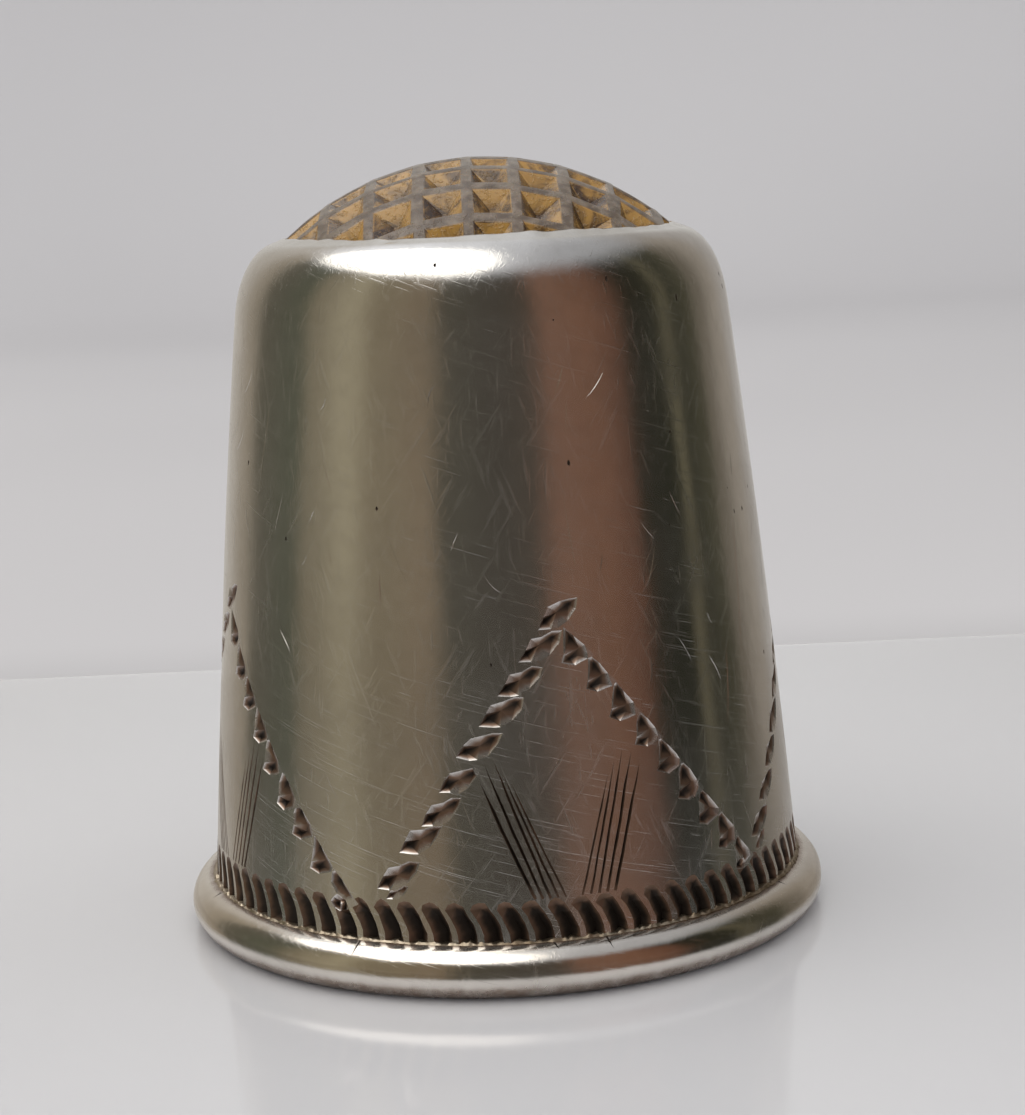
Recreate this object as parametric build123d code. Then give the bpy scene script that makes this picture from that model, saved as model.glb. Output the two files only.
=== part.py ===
from build123d import *
from itertools import product
from math import atan2, cos, degrees, hypot, radians, sin, sqrt
import os

# A sewing thimble: a tapered silver band with a half-round wire soldered round its mouth,
# and a domed, pitted stone cap held in the top by a burnished lip.
# Millimetres. The origin is the centre of the mouth, in the plane that it stands on, and
# +Z runs up the axis. Azimuths are in degrees from the front (-Y), positive towards +X.

# Driving dimensions of the band
MOUTH_RADIUS = 8.42
WALL_TOP_RADIUS = 6.80
WALL_HEIGHT = 17.0
WALL_BULGE = 0.09
WALL_THICKNESS = 0.42

# Lip burnished over the stone
LIP_HEIGHT = 19.06
LIP_RADIUS = 5.30
LIP_THICKNESS = 0.10
SHOULDER_RADIUS = 5.75
SHOULDER_HEIGHT = 18.97
SHOULDER_TURN = ((6.66, 18.20), (6.20, 18.80))

# Rim wire
RIM_RADIUS = 9.00
WIRE_RADIUS = 0.69
WIRE_FLAT_DEPTH = 0.03

# Stone cap and its seat
DOME_RADIUS = 8.02
STONE_TOP = 21.12
GIRDLE_RADIUS = 6.00
GIRDLE_TOP = 18.20
STONE_BASE = 17.55
CEMENT_THICKNESS = 0.12
BED_THICKNESS = 0.15
BEARER_BORE = 5.20
BEARER_THICKNESS = 0.60

# Pits ground in the stone
PIT_PITCH = 1.29
PIT_RIDGE = 0.25
PIT_DEPTH = 0.42
PIT_GRID_X = -0.27
PIT_GRID_Y = 0.41

# Row of leaf cuts above the rim
LEAF_COUNT = 80
LEAF_WIDTH = 0.44
LEAF_FOOT = 1.42
LEAF_HEAD = 2.42
LEAF_LEAN = 2.6
LEAF_DEPTH = 0.16
LEAF_DEEPEST = 0.6

# Zigzag round the band, one triangle a line: azimuth of its left foot, peak and right
# foot, and of the point where its two fans of lines meet
TRIANGLES = (
    (-22.5, 12.0, 50.5, 12.0),
    (54.0, 93.0, 136.0, 95.0),
    (144.0, 189.5, 238.0, 190.0),
    (246.0, 290.0, 329.0, 293.5),
)
PEAK_HEIGHT = 9.60
FOOT_HEIGHT = 2.90
STROKES_PER_LIMB = 18
STROKE_REACH = 0.26
STROKE_TILT = 38.0
STROKE_WIDTH = 0.22
STROKE_DEPTH = 0.10

# Fans of fine lines inside each triangle
FAN_LINES = 5
FAN_HEAD_HEIGHT = 5.90
FAN_FOOT_HEIGHT = 2.65
FAN_HEAD_OFFSET = 11.0
FAN_HEAD_STEP = 1.6
FAN_FOOT_OFFSET = 3.6
FAN_FOOT_STEP = 1.2
FAN_WIDTH = 0.09
FAN_DEPTH = 0.06

# How far past the surface a cutter reaches, as a share of its depth
CUTTER_REACH = 1.3

# Worked out from the dimensions above
DOME_CENTRE = STONE_TOP - DOME_RADIUS
CEMENT_RADIUS = GIRDLE_RADIUS + CEMENT_THICKNESS
BEARER_TOP = STONE_BASE - BED_THICKNESS
BEARER_BASE = BEARER_TOP - BEARER_THICKNESS
WIRE_CENTRE = (RIM_RADIUS - WIRE_RADIUS, WIRE_RADIUS - WIRE_FLAT_DEPTH)


def wall_radius(height):
    """Outer radius of the band's wall at a height."""
    share = height / WALL_HEIGHT
    taper = MOUTH_RADIUS + (WALL_TOP_RADIUS - MOUTH_RADIUS) * share
    return taper + WALL_BULGE * 4 * share * (1 - share)


def dome_height(x, y):
    """Height of the stone's dome over a point."""
    return DOME_CENTRE + sqrt(DOME_RADIUS**2 - x**2 - y**2)


def lining_radius(height):
    """Inner radius of the band's wall at a height."""
    return wall_radius(height) - WALL_THICKNESS


def on_wall(azimuth, height, proud=0.0):
    """Point on the band's outer wall, or proud of it by a distance."""
    radius = wall_radius(height) + proud
    angle = radians(azimuth)
    return Vector(radius * sin(angle), -radius * cos(angle), height)


def pyramid(mouth, tip):
    """Cutter that widens from its tip, through a four-cornered mouth, to clear of the surface."""
    a, b, c, d = [tip + (corner - tip) * CUTTER_REACH for corner in mouth]
    triangles = [(a, b, tip), (b, c, tip), (c, d, tip), (d, a, tip), (a, b, d), (b, c, d)]
    return Solid(Shell([Face(Wire.make_polygon(corners)) for corners in triangles]))


def graver_cut(start, end, half_width, depth, deepest=0.5):
    """Cutter for one stroke between two (azimuth, height) points of the wall."""
    middle = [a + (b - a) * deepest for a, b in zip(start, end)]
    per_degree = radians(1) * wall_radius(middle[1])
    along = ((end[0] - start[0]) * per_degree, end[1] - start[1])
    length = hypot(*along)
    aside = (-along[1] / length * half_width / per_degree, along[0] / length * half_width)
    left = on_wall(middle[0] + aside[0], middle[1] + aside[1])
    right = on_wall(middle[0] - aside[0], middle[1] - aside[1])
    return pyramid([on_wall(*start), right, on_wall(*end), left], on_wall(*middle, -depth))


def leaf_cutters():
    """Row of leaf-shaped cuts that lean together, just above the rim."""
    cutters = []
    for index in range(LEAF_COUNT):
        azimuth = 360 * index / LEAF_COUNT
        head = (azimuth - LEAF_LEAN / 2, LEAF_HEAD)
        foot = (azimuth + LEAF_LEAN / 2, LEAF_FOOT)
        cutters.append(graver_cut(head, foot, LEAF_WIDTH / 2, LEAF_DEPTH, LEAF_DEEPEST))
    return cutters


def limb_cutters(peak_azimuth, foot_azimuth):
    """Strokes rocked from side to side down one limb of the zigzag."""
    cutters = []
    middle_radius = wall_radius((PEAK_HEIGHT + FOOT_HEIGHT) / 2)
    run = radians(foot_azimuth - peak_azimuth) * middle_radius
    heading = atan2(FOOT_HEIGHT - PEAK_HEIGHT, run)
    for index in range(STROKES_PER_LIMB):
        share = (index + 0.5) / STROKES_PER_LIMB
        azimuth = peak_azimuth + (foot_azimuth - peak_azimuth) * share
        height = PEAK_HEIGHT + (FOOT_HEIGHT - PEAK_HEIGHT) * share
        stroke_heading = heading + radians(STROKE_TILT) * (-1) ** index
        sideways = degrees(STROKE_REACH * cos(stroke_heading) / wall_radius(height))
        upwards = STROKE_REACH * sin(stroke_heading)
        start = (azimuth - sideways, height - upwards)
        end = (azimuth + sideways, height + upwards)
        cutters.append(graver_cut(start, end, STROKE_WIDTH / 2, STROKE_DEPTH))
    return cutters


def fan_cutters(meeting_azimuth):
    """Two fans of nearly parallel lines that lean together at the foot."""
    cutters = []
    for side in (-1, 1):
        for index in range(FAN_LINES):
            place = index - (FAN_LINES - 1) / 2
            head = meeting_azimuth + side * (FAN_HEAD_OFFSET + FAN_HEAD_STEP * place)
            foot = meeting_azimuth + side * (FAN_FOOT_OFFSET + FAN_FOOT_STEP * place)
            start = (head, FAN_HEAD_HEIGHT)
            end = (foot, FAN_FOOT_HEIGHT)
            cutters.append(graver_cut(start, end, FAN_WIDTH / 2, FAN_DEPTH))
    return cutters


def pit_cutters():
    """Square pits, inside the lip, whose mouths leave ridges of one width between them."""
    cutters = []
    half = (PIT_PITCH - PIT_RIDGE) / 2
    cells_each_way = range(-5, 5)
    for column, row in product(cells_each_way, cells_each_way):
        x = PIT_GRID_X + (column + 0.5) * PIT_PITCH
        y = PIT_GRID_Y + (row + 0.5) * PIT_PITCH
        low_x, high_x, low_y, high_y = x - half, x + half, y - half, y + half
        corners = [(low_x, low_y), (high_x, low_y), (high_x, high_y), (low_x, high_y)]
        if max(hypot(*corner) for corner in corners) > LIP_RADIUS - PIT_RIDGE:
            continue
        mouth = [Vector(*corner, dome_height(*corner)) for corner in corners]
        middle = Vector(x, y, dome_height(x, y))
        inward = (Vector(0, 0, DOME_CENTRE) - middle).normalized()
        cutters.append(pyramid(mouth, middle + inward * PIT_DEPTH))
    return cutters


def wall_curve(radius_at, top):
    """Bulged line of one side of the wall, from the mouth up to a height."""
    heights = (0, top / 2, top)
    return ThreePointArc(*[(radius_at(height), height) for height in heights])


def turned(*lines):
    """Solid of revolution about the axis, from lines drawn as (radius, height)."""
    return revolve(Plane.XZ * make_face(Curve() + list(lines)), Axis.Z)


def silver_band():
    """Tapered tube, its shoulder turned in over the stone's edge, with the engraving."""
    shoulder_start = (WALL_TOP_RADIUS, WALL_HEIGHT)
    shoulder_end = (SHOULDER_RADIUS, SHOULDER_HEIGHT)
    seat_start = (lining_radius(BEARER_BASE), BEARER_BASE)
    blank = turned(
        wall_curve(wall_radius, WALL_HEIGHT),
        Bezier(shoulder_start, *SHOULDER_TURN, shoulder_end),
        Polyline(
            shoulder_end,
            (LIP_RADIUS, LIP_HEIGHT),
            (LIP_RADIUS, LIP_HEIGHT - LIP_THICKNESS),
            (GIRDLE_RADIUS, GIRDLE_TOP),
            (CEMENT_RADIUS, GIRDLE_TOP),
            (CEMENT_RADIUS, BEARER_TOP),
            seat_start,
        ),
        wall_curve(lining_radius, BEARER_BASE),
        Line((lining_radius(0), 0), (MOUTH_RADIUS, 0)),
    )
    cutters = leaf_cutters()
    for left_foot, peak, right_foot, meeting in TRIANGLES:
        cutters += limb_cutters(peak, left_foot)
        cutters += limb_cutters(peak, right_foot)
        cutters += fan_cutters(meeting)
    return blank.cut(*cutters)


def rim_wire():
    """Half-round wire that follows the band's wall, filed flat where it stands."""
    wire = Pos(*WIRE_CENTRE) * Circle(WIRE_RADIUS)
    band = make_face(
        Curve()
        + [
            wall_curve(wall_radius, WALL_HEIGHT),
            Polyline(
                (WALL_TOP_RADIUS, WALL_HEIGHT),
                (0, WALL_HEIGHT),
                (0, 0),
                (MOUTH_RADIUS, 0),
            ),
        ]
    )
    filed_off = Pos(RIM_RADIUS, -WIRE_RADIUS) * Rectangle(4 * WIRE_RADIUS, 2 * WIRE_RADIUS)
    return revolve(Plane.XZ * (wire - band - filed_off), Axis.Z)


def stone_cap():
    """Dome with a bevelled girdle under the lip, and its grid of pits."""
    dome_edge = (LIP_RADIUS, dome_height(LIP_RADIUS, 0))
    blank = turned(
        Polyline(
            (0, STONE_TOP),
            (0, STONE_BASE),
            (GIRDLE_RADIUS, STONE_BASE),
            (GIRDLE_RADIUS, GIRDLE_TOP),
            (LIP_RADIUS, LIP_HEIGHT - LIP_THICKNESS),
            dome_edge,
        ),
        ThreePointArc(dome_edge, (LIP_RADIUS / 2, dome_height(LIP_RADIUS / 2, 0)), (0, STONE_TOP)),
    )
    return blank.cut(*pit_cutters())


def bearer_ring():
    """Seat ring soldered inside the band, under the stone."""
    return turned(
        Polyline(
            (BEARER_BORE, BEARER_BASE),
            (lining_radius(BEARER_BASE), BEARER_BASE),
            (CEMENT_RADIUS, BEARER_TOP),
            (BEARER_BORE, BEARER_TOP),
            close=True,
        )
    )


def cement_bed():
    """Setting cement under the stone's edge and round its girdle."""
    return turned(
        Polyline(
            (BEARER_BORE, BEARER_TOP),
            (CEMENT_RADIUS, BEARER_TOP),
            (CEMENT_RADIUS, GIRDLE_TOP),
            (GIRDLE_RADIUS, GIRDLE_TOP),
            (GIRDLE_RADIUS, STONE_BASE),
            (BEARER_BORE, STONE_BASE),
            close=True,
        )
    )


os.makedirs("parts", exist_ok=True)
for make_piece in (silver_band, rim_wire, stone_cap, bearer_ring, cement_bed):
    piece = make_piece()
    export_step(piece, f"parts/{make_piece.__name__}.step")
    print(make_piece.__name__, round(piece.volume, 2), piece.is_valid)
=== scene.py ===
import math

import bpy
import numpy as np
from mathutils import Matrix, Vector
from mathutils.geometry import delaunay_2d_cdt


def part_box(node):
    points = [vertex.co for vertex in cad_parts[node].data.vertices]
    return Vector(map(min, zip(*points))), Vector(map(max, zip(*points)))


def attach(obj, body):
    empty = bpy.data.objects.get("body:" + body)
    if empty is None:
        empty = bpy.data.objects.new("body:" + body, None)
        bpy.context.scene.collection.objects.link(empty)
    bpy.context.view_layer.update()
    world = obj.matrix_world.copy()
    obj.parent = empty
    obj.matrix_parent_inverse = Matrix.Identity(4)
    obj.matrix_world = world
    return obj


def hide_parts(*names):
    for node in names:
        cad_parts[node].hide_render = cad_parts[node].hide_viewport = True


# A silver thimble with a pitted stone cap. Every piece is worked out in millimetres, in the
# frame of the CAD model, and turned into metres when its mesh is made. Azimuths are in
# degrees from the front (-Y), positive towards +X.

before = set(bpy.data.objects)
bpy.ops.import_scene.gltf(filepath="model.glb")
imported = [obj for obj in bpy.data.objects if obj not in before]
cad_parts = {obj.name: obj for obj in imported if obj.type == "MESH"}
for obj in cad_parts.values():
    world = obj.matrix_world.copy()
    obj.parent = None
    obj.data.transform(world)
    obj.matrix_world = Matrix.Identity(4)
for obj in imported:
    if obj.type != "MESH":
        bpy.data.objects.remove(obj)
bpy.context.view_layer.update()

MM = 0.001
band_low, band_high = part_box("silver_band")
rim_low, rim_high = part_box("rim_wire")
stone_low, stone_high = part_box("stone_cap")
bearer_low, bearer_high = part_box("bearer_ring")

# ---- dimensions

# Band: the ends come from the CAD model, and the rest follows its wall
MOUTH_RADIUS = band_high.x / MM
WALL_TOP_RADIUS = 6.80
WALL_HEIGHT = 17.0
WALL_BULGE = 0.09
WALL_THICKNESS = 0.42
SHOULDER_TURN = ((6.66, 18.20), (6.20, 18.80))
SHOULDER_END = (5.75, 18.97)
SHOULDER_LENGTH = 2.35
LIP_RADIUS = 5.34

# Stone and its seat
STONE_TOP = stone_high.z / MM
STONE_BASE = stone_low.z / MM
GIRDLE_RADIUS = stone_high.x / MM
GIRDLE_TOP = 18.20
DOME_RADIUS = 8.02
DOME_CENTRE = STONE_TOP - DOME_RADIUS
BEARER_BASE = bearer_low.z / MM
BEARER_TOP = bearer_high.z / MM
SEAT_RADIUS = 6.12

# Rim wire
RIM_RADIUS = rim_high.x / MM
RIM_HEIGHT = rim_high.z / MM
WIRE_RADIUS = 0.69
WIRE_CENTRE = (RIM_RADIUS - WIRE_RADIUS, RIM_HEIGHT - WIRE_RADIUS)
RIM_ARC_START = math.acos(WIRE_CENTRE[1] / WIRE_RADIUS)
RIM_ARC_LENGTH = (math.pi - RIM_ARC_START) * WIRE_RADIUS

# Meshes of the carved surfaces
BAND_FOOT = 1.05
BAND_COLUMNS = 264
WALL_ROWS = 72
SHOULDER_ROWS = 26
RIM_COLUMNS = 400
RIM_ROWS = 22
SHARP_ANGLE = math.radians(32)

# Patina and painted shade at the edges of the cuts, from 0 to 1, and the depth from which they are darkest
LEAF_DARKNESS = 0.52
LIMB_DARKNESS = 0.30
FAN_DARKNESS = 0.60
SCRATCH_DARKNESS = 0.15
DING_DARKNESS = 0.72
SLIP_DARKNESS = 0.80
DARKEST_DEPTH = 0.16

# Row of leaf cuts. An outline's points are (across, height) and a floor's points add a
# depth; across runs to the right from the middle of the leaf's head
LEAF_COUNT = 80
LEAF_FIRST = -23.1
LEAF_PITCH = 360 / LEAF_COUNT
LEAF_OUTLINE = (
    (-0.23, 2.24), (-0.17, 2.38), (-0.02, 2.45), (0.12, 2.42), (0.22, 2.31), (0.36, 2.10),
    (0.48, 1.86), (0.57, 1.62), (0.60, 1.33), (0.10, 1.33), (0.09, 1.60), (0.02, 1.80), (-0.10, 2.05),
)
LEAF_FLOOR = (
    (0.02, 2.27, 0.05), (0.17, 2.08, 0.14), (0.30, 1.86, 0.20), (0.41, 1.62, 0.22), (0.42, 1.36, 0.22),
)
LEAF_RIDGE_HEAD = (0.325, 2.40)
LEAF_RIDGE_FOOT = (0.67, 1.60)

# Zigzag: azimuths of each triangle's left foot, peak and right foot, and where its fans meet
TRIANGLES = (
    (-22.5, 12.0, 50.5, 12.0),
    (54.0, 93.0, 136.0, 95.0),
    (144.0, 189.5, 238.0, 190.0),
    (246.0, 290.0, 329.0, 293.5),
)
CUTS_PER_LIMB = 9
LIMB_CUT_SIZE = 1.10
# Middles of a limb's first and last cuts: azimuth from the peak or foot, and height. LAST_CUT
# is one more, smaller cut at each left foot
LAST_CUT = (2.3, 2.64)
LAST_CUT_SIZE = 0.58
LEFT_HEAD = (-0.4, 9.58)
LEFT_FOOT = (2.6, 3.10)
RIGHT_HEAD = (3.1, 8.78)
RIGHT_FOOT = (-0.3, 2.60)
LEFT_CUT_OUTLINE = (
    (-0.46, -0.28), (-0.31, 0.00), (-0.18, 0.21), (0.08, 0.28), (0.34, 0.38), (0.57, 0.37),
    (0.48, 0.12), (0.26, -0.14), (0.03, -0.29), (-0.16, -0.30),
)
LEFT_CUT_FLOOR = ((-0.27, -0.13, 0.15), (0.03, 0.05, 0.06), (0.36, 0.22, 0.11))
RIGHT_CUT_OUTLINE = (
    (-0.22, 0.50), (0.01, 0.24), (0.24, -0.04), (0.43, -0.28), (0.30, -0.33), (0.12, -0.41),
    (-0.08, -0.46), (-0.38, -0.34), (-0.31, -0.16), (-0.29, 0.16),
)
RIGHT_CUT_FLOOR = (
    (-0.08, 0.20, 0.12), (0.10, -0.07, 0.06), (0.05, -0.27, 0.08), (-0.17, -0.33, 0.13),
)

# Fans: azimuth of the outer line's foot and head from where the fans meet, and the steps
# from each line to the next, which is nearer the middle
FAN_FOOT_HEIGHT = 2.46
FAN_HEIGHTS = (5.62, 5.98, 6.05, 5.78, 5.50)
FAN_DEPTHS = (0.080, 0.070, 0.060, 0.045, 0.030)
FAN_HALF_WIDTH = 0.040
LEFT_FAN = {"foot": -7.4, "head": -16.6, "foot_step": 1.45, "head_step": 1.50}
RIGHT_FAN = {"foot": 7.4, "head": 14.2, "foot_step": -1.50, "head_step": -1.66}

# Marks of wear on the wall, how far they stay from the seam in degrees, and the hairlines
# where the graver slipped on to the rim: azimuth, length and sideways lean
SCRATCHES = 90
DINGS = 55
SEAM_CLEARANCE = 8
RIM_SLIPS = (
    (-27.2, 0.60, -0.05), (7.6, 0.30, 0.10), (17.0, 0.45, 0.05), (61.0, 0.25, 0.03),
    (103.0, 0.35, -0.05), (-70.0, 0.28, 0.06), (-118.0, 0.40, -0.03), (-163.0, 0.30, 0.05),
    (-205.0, 0.38, -0.06),
)

# How much darker the uncut silver is made, from 0 to 1, against the height up the band from its foot, and
# against the length of arc up the wire
BAND_DARKENING_RISE = 1.1
BAND_DARKENING = 0.34
RIM_DARKENING_FADES = (0.55, 0.95)
RIM_DARKENING_RETURNS = (0.42, 0.12)
RIM_DARKENING = (0.46, 0.40, 0.0, 0.0, 0.45)

# Pits of the stone
PIT_PITCH = 1.29
PIT_RIDGE = 0.25
PIT_DEPTH = 0.42
PIT_GRID_X = -0.27
PIT_GRID_Y = 0.41
STONE_EDGE = 5.45
# Shares of a pit's half width where its wall bends, and of its depth there
PIT_RINGS = (1.0, 0.90, 0.12)
PIT_RING_DEPTHS = (0.0, 0.10, 0.94)
# Way that a pit's facet faces to be painted brightest: painted light, from the front and left
PAINTED_LIGHT_FROM = np.array([-0.45, -0.80, -0.25])

# Studio: far edge of the table top in metres, and the camera in millimetres and degrees
TABLE_EDGE = 0.034
CAMERA_DISTANCE = 65.0
CAMERA_HEIGHT = 20.505
CAMERA_YAW = 0.486
CAMERA_PITCH = 9.263
CAMERA_ROLL = -2.483
CAMERA_LENS = 75.23

# ---- surfaces


def waves(seed, count, around, upward, size):
    """Random waves that close round the axis: turns, rise per mm, phase and size."""
    draw = np.random.RandomState(seed)
    turns = draw.randint(around[0], around[1] + 1, count)
    rise = draw.uniform(-upward, upward, count)
    phase = draw.uniform(0, 2 * math.pi, count)
    height = size * draw.uniform(0.4, 1.0, count) / np.sqrt(turns)
    return list(zip(turns, rise, phase, height))


WALL_WAVES = waves(11, 10, (2, 7), 0.35, 0.012) + waves(12, 16, (8, 26), 1.1, 0.0045)
RIM_WAVES = waves(21, 8, (2, 9), 1.0, 0.018) + waves(22, 14, (10, 40), 1.5, 0.008)
LIP_WAVES = waves(31, 10, (3, 14), 0.0, 0.035) + waves(32, 14, (15, 60), 0.0, 0.035)


def evenly(low, high, steps):
    """Numbers from low to high in equal steps, both ends included."""
    return [low + (high - low) * step / steps for step in range(steps + 1)]


def ripple(wave_list, angle, height):
    """Sum of waves at an angle in radians and a height in millimetres."""
    total = np.zeros_like(angle, dtype=float)
    for turns, rise, phase, size in wave_list:
        total = total + size * np.cos(turns * angle + rise * height + phase)
    return total


def wall_radius(height):
    """Outer radius of the band's wall at a height."""
    share = height / WALL_HEIGHT
    taper = MOUTH_RADIUS + (WALL_TOP_RADIUS - MOUTH_RADIUS) * share
    return taper + WALL_BULGE * 4 * share * (1 - share)


def round_axis(radius, angle, height):
    """Points at a radius, angle and height, as an array of x, y and z."""
    return np.stack([radius * np.sin(angle), -radius * np.cos(angle), height + 0 * angle + 0 * radius], -1)


def band_point(angle, along, depth):
    """Point of the band's outside: along is the height on the wall, and runs on over the shoulder."""
    wall = wall_radius(np.minimum(along, WALL_HEIGHT))
    share = np.clip((along - WALL_HEIGHT) / SHOULDER_LENGTH, 0, 1)
    turn = [(WALL_TOP_RADIUS, WALL_HEIGHT), *SHOULDER_TURN, SHOULDER_END]
    weights = [(1 - share) ** 3, 3 * share * (1 - share) ** 2, 3 * share**2 * (1 - share), share**3]
    over_radius = sum(w * corner[0] for w, corner in zip(weights, turn))
    over_height = sum(w * corner[1] for w, corner in zip(weights, turn))
    on_wall = along <= WALL_HEIGHT
    radius = np.where(on_wall, wall, over_radius) + ripple(WALL_WAVES, angle, along) * (1 - share)
    return round_axis(radius - depth, angle, np.where(on_wall, along, over_height))


def rim_point(angle, along, depth):
    """Point on the half-round wire; along is the arc's length from the flat underside."""
    turn = RIM_ARC_START + along / WIRE_RADIUS
    reach = WIRE_RADIUS + ripple(RIM_WAVES, angle, 2 * along) * np.sin(turn / 2) - depth
    radius = WIRE_CENTRE[0] + reach * np.sin(turn)
    height = WIRE_CENTRE[1] - reach * np.cos(turn)
    return round_axis(radius, angle, height)


def dome_height(x, y):
    """Height of the stone's dome over a point."""
    return DOME_CENTRE + np.sqrt(DOME_RADIUS**2 - x**2 - y**2)


def surface_normals(point_at, a, b):
    """Unit normals of point_at(a, b, 0), by differences."""
    step = 1e-4
    across = point_at(a + step, b, 0.0) - point_at(a - step, b, 0.0)
    upward = point_at(a, b + step, 0.0) - point_at(a, b - step, 0.0)
    normal = np.cross(across, upward)
    return normal / np.linalg.norm(normal, axis=1, keepdims=True)


# ---- carving


class Cut:
    """One engraved cut on a flat domain: an outline at depth 0, and floor points below it
    that creases join in one line. Its darkness is how dark its edge is, from 0 to 1: patina and painted
    shade."""

    def __init__(self, outline, floor, darkness=0.0):
        self.outline = [tuple(point) for point in outline]
        self.floor = [tuple(point) for point in floor]
        self.creases = [(i, i + 1) for i in range(len(floor) - 1)]
        self.darkness = darkness


def numbers_near(points, ring, margin):
    """Numbers of the points in the box round a ring, widened by a margin."""
    low, high = ring.min(0) - margin, ring.max(0) + margin
    return np.flatnonzero((points > low).all(1) & (points < high).all(1))


def inside(points, ring):
    """Whether each point lies inside a closed ring."""
    start, end = ring, np.roll(ring, -1, axis=0)
    run, rise = (end - start).T
    height = points[:, None, 1]
    straddles = (start[:, 1] > height) != (end[:, 1] > height)
    crossing = start[:, 0] + run / np.where(rise == 0, 1e-12, rise) * (height - start[:, 1])
    return (straddles & (points[:, None, 0] < crossing)).sum(1) % 2 == 1


def distance_from(points, ring):
    """Distance of each point from a closed ring's line."""
    edge = np.roll(ring, -1, axis=0) - ring
    gap = points[:, None, :] - ring
    share = np.clip((gap * edge).sum(2) / (edge**2).sum(1), 0, 1)
    return np.linalg.norm(gap - share[..., None] * edge, axis=2).min(1)


def clear_of(points, cuts, margin):
    """The points that lie outside every cut by at least a margin."""
    keep = np.ones(len(points), bool)
    for cut in cuts:
        ring = np.array(cut.outline)
        near = numbers_near(points, ring, margin)
        clash = inside(points[near], ring) | (distance_from(points[near], ring) < margin)
        keep[near[clash]] = False
    return points[keep]


def triangulate(border, fill, cuts):
    """Triangles of the domain inside border, with every edge of every cut among their edges.

    Returns the points, each one's depth, each one's number in border or -1, the triangles,
    and the number of the cut that each triangle lies in, or -1.
    """
    points = [Vector(p) for p in border] + [Vector(p) for p in fill]
    depths = [0.0] * len(points)
    edges = []
    for cut in cuts:
        first, count = len(points), len(cut.outline)
        points += [Vector(p) for p in cut.outline]
        depths += [0.0] * count
        edges += [(first + i, first + (i + 1) % count) for i in range(count)]
        first = len(points)
        points += [Vector(p[:2]) for p in cut.floor]
        depths += [p[2] for p in cut.floor]
        edges += [(first + a, first + b) for a, b in cut.creases]
    domain = list(range(len(border)))
    placed, _, triangles, sources, _, _ = delaunay_2d_cdt(points, edges, [domain], 1, 1e-6, True)
    flat = np.array(placed)
    depth = [max((depths[i] for i in source), default=0.0) for source in sources]
    border_number = [min((i for i in source if i < len(border)), default=-1) for source in sources]
    centres = flat[np.array(triangles)].mean(1)
    in_cut = np.full(len(triangles), -1)
    for number, cut in enumerate(cuts):
        ring = np.array(cut.outline)
        near = numbers_near(centres, ring, 0.0)
        in_cut[near[inside(centres[near], ring)]] = number
    return flat, np.array(depth), border_number, triangles, in_cut


def make_mesh(name, points, faces, normals_for=None, attributes=None):
    """Mesh object from points in millimetres; normals_for gives each face's corner normals."""
    mesh = bpy.data.meshes.new(name)
    mesh.from_pydata([tuple(p) for p in np.asarray(points) * MM], [], [tuple(f) for f in faces])
    mesh.update()
    mesh.shade_smooth()
    mesh.set_sharp_from_angle(angle=SHARP_ANGLE)
    if normals_for is not None:
        corner = np.array([n.vector[:] for n in mesh.corner_normals])
        for face_index, corners in normals_for.items():
            start = mesh.polygons[face_index].loop_start
            corner[start : start + len(corners)] = corners
        mesh.normals_split_custom_set(corner.tolist())
    for label, values in (attributes or {}).items():
        layer = mesh.attributes.new(label, "FLOAT", "CORNER")
        layer.data.foreach_set("value", np.asarray(values, np.float32))
    piece = bpy.data.objects.new(name, mesh)
    bpy.context.scene.collection.objects.link(piece)
    return piece


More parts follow.
